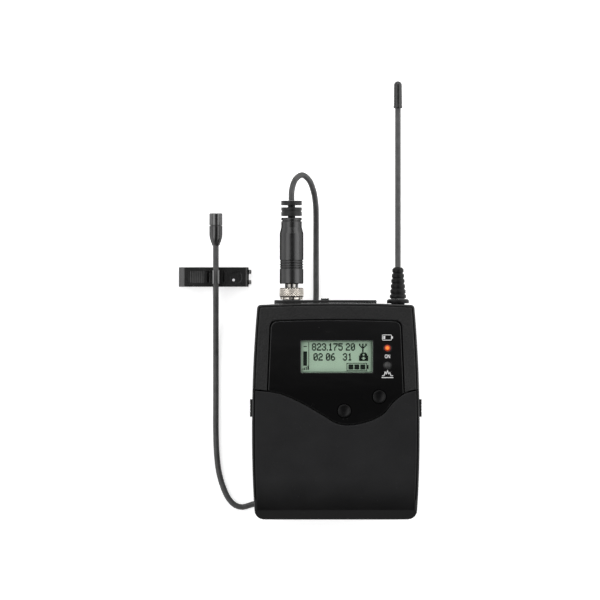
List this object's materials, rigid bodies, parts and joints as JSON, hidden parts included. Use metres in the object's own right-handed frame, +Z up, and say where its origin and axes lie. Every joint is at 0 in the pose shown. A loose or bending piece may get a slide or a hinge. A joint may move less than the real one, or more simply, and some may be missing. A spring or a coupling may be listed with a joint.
{
  "type": "lavalier microphone",
  "caption": "Clip-on lavalier microphone with tie clip, thin cable and screw-lock plug, joined to a belt-worn transmitter with display, battery door, wire belt clip and whip antenna.",
  "frame": {"origin": "On the surface that the set lies on, in the middle of the footprint of everything but the cable and its plug", "axes": "+Z up out of the transmitter's front, +Y along the antenna towards its tip, +X to the right as seen from above"},
  "size_m": [0.0928, 0.1674, 0.0347],
  "materials": {
    "case_shell": "fine satin texture",
    "door_shell": "fine satin texture",
    "display_gloss": "polished",
    "lcd_glass": "clear",
    "lcd_film": "pale grey-green reflective film",
    "lamp_red": "lit diffuser",
    "lamp_grey": "unlit diffuser",
    "button_black": "satin",
    "switch_plastic": "moulded",
    "soft_rubber": "matt",
    "circuit_board": "solder mask",
    "tinned_steel": "tinned",
    "cell_sleeve": "printed sleeve, plain",
    "contact_gold": "gold flash",
    "nickel": "satin nickel",
    "plug_black": "black satin",
    "antenna_sleeve": "semi-matt sleeve",
    "spring_steel": "drawn wire",
    "screw_steel": "zinc plated",
    "mic_black": "black satin",
    "screen_steel": "woven mesh",
    "clip_black": "black satin",
    "holder_black": "moulded",
    "cable_jacket": "soft semi-matt jacket"
  },
  "bodies": {
    "transmitter": {"rear_shell": "case_shell", "front_frame": "case_shell", "case_screw_1": "screw_steel", "case_screw_2": "screw_steel", "case_screw_3": "screw_steel", "case_screw_4": "screw_steel", "display_panel": "display_gloss", "lcd_lens": "lcd_glass", "lcd_module": "lcd_film", "power_lamp": "lamp_red", "peak_lamp": "lamp_grey", "power_switch": "switch_plastic", "set_switch": "switch_plastic", "rocker_pad": "soft_rubber", "main_board": "circuit_board", "shield_can": "tinned_steel", "battery_tray": "case_shell", "battery_lower": "cell_sleeve", "battery_upper": "cell_sleeve", "contact_bridge": "contact_gold", "contact_lower": "contact_gold", "contact_upper": "contact_gold", "door_hinge_pin": "screw_steel", "top_plate": "case_shell", "mute_switch": "switch_plastic", "jack_socket": "nickel", "jack_locknut": "nickel", "plug_contact_pin": "contact_gold", "plug_sleeve": "nickel", "plug_body": "plug_black", "plug_strain_relief": "soft_rubber", "antenna_base": "plug_black", "antenna_boot": "soft_rubber", "antenna_rod": "antenna_sleeve", "antenna_tip": "antenna_sleeve", "mic_cap": "mic_black", "mic_screen": "screen_steel", "mic_capsule": "tinned_steel", "mic_housing": "mic_black", "mic_strain_relief": "soft_rubber", "cable_mic_side": "cable_jacket", "cable_coil": "cable_jacket", "cable_plug_side": "cable_jacket"},
    "door": {"battery_door": "door_shell"},
    "left_catch": {"catch_left": "button_black"},
    "right_catch": {"catch_right": "button_black"},
    "power_button": {"power_button": "button_black"},
    "set_button": {"set_button": "button_black"},
    "rocker": {"rocker_key": "button_black"},
    "mute": {"mute_slider": "button_black"},
    "nut": {"plug_nut": "nickel"},
    "belt_clip": {"belt_clip": "spring_steel"},
    "tie_clip": {"clip_front_jaw": "clip_black", "clip_pin": "screw_steel", "clip_spring": "screw_steel", "cable_holder": "holder_black"},
    "tie_clip_jaw": {"clip_rear_jaw": "clip_black"}
  },
  "joints": [
    {"name": "door_hinge", "type": "hinge", "parent": "transmitter", "child": "door", "pos_m": [0.01366, -0.0813, 0.0302], "axis": [1, 0, 0], "range_deg": [0, 90]},
    {"name": "left_catch_press", "type": "slide", "parent": "door", "child": "left_catch", "axis": [1, 0, 0], "range_m": [0, 0.0008], "stiffness_N_per_m": 1500, "springref_m": -0.0005},
    {"name": "right_catch_press", "type": "slide", "parent": "door", "child": "right_catch", "axis": [-1, 0, 0], "range_m": [0, 0.0008], "stiffness_N_per_m": 1500, "springref_m": -0.0005},
    {"name": "power_button_press", "type": "slide", "parent": "transmitter", "child": "power_button", "axis": [0, 0, -1], "range_m": [0, 0.0006], "stiffness_N_per_m": 1500, "springref_m": -0.0005},
    {"name": "set_button_press", "type": "slide", "parent": "transmitter", "child": "set_button", "axis": [0, 0, -1], "range_m": [0, 0.0006], "stiffness_N_per_m": 1500, "springref_m": -0.0005},
    {"name": "rocker_tilt", "type": "hinge", "parent": "transmitter", "child": "rocker", "pos_m": [-0.00184, -0.0443, 0.0304], "axis": [0, 1, 0], "range_deg": [-4, 4], "stiffness_Nm_per_rad": 0.05},
    {"name": "mute_slide", "type": "slide", "parent": "transmitter", "child": "mute", "axis": [1, 0, 0], "range_m": [0, 0.0022]},
    {"name": "nut_spin", "type": "hinge", "parent": "transmitter", "child": "nut", "pos_m": [-0.00324, 0.003, 0.0226], "axis": [0, 1, 0], "continuous": true},
    {"name": "belt_clip_hinge", "type": "hinge", "parent": "transmitter", "child": "belt_clip", "pos_m": [0.01366, -0.0177, 0.0082], "axis": [1, 0, 0], "range_deg": [0, 5.5], "stiffness_Nm_per_rad": 4, "springref_deg": -5.73},
    {"name": "tie_clip_swivel", "type": "hinge", "parent": "transmitter", "child": "tie_clip", "pos_m": [-0.0322, 0.0089, 0.0074], "axis": [0, 1, 0], "continuous": true},
    {"name": "tie_clip_jaw_hinge", "type": "hinge", "parent": "tie_clip", "child": "tie_clip_jaw", "pos_m": [-0.0372, 0.0089, 0.00245], "axis": [0, 1, 0], "range_deg": [0, 18], "stiffness_Nm_per_rad": 0.03, "springref_deg": -28.65}
  ]
}
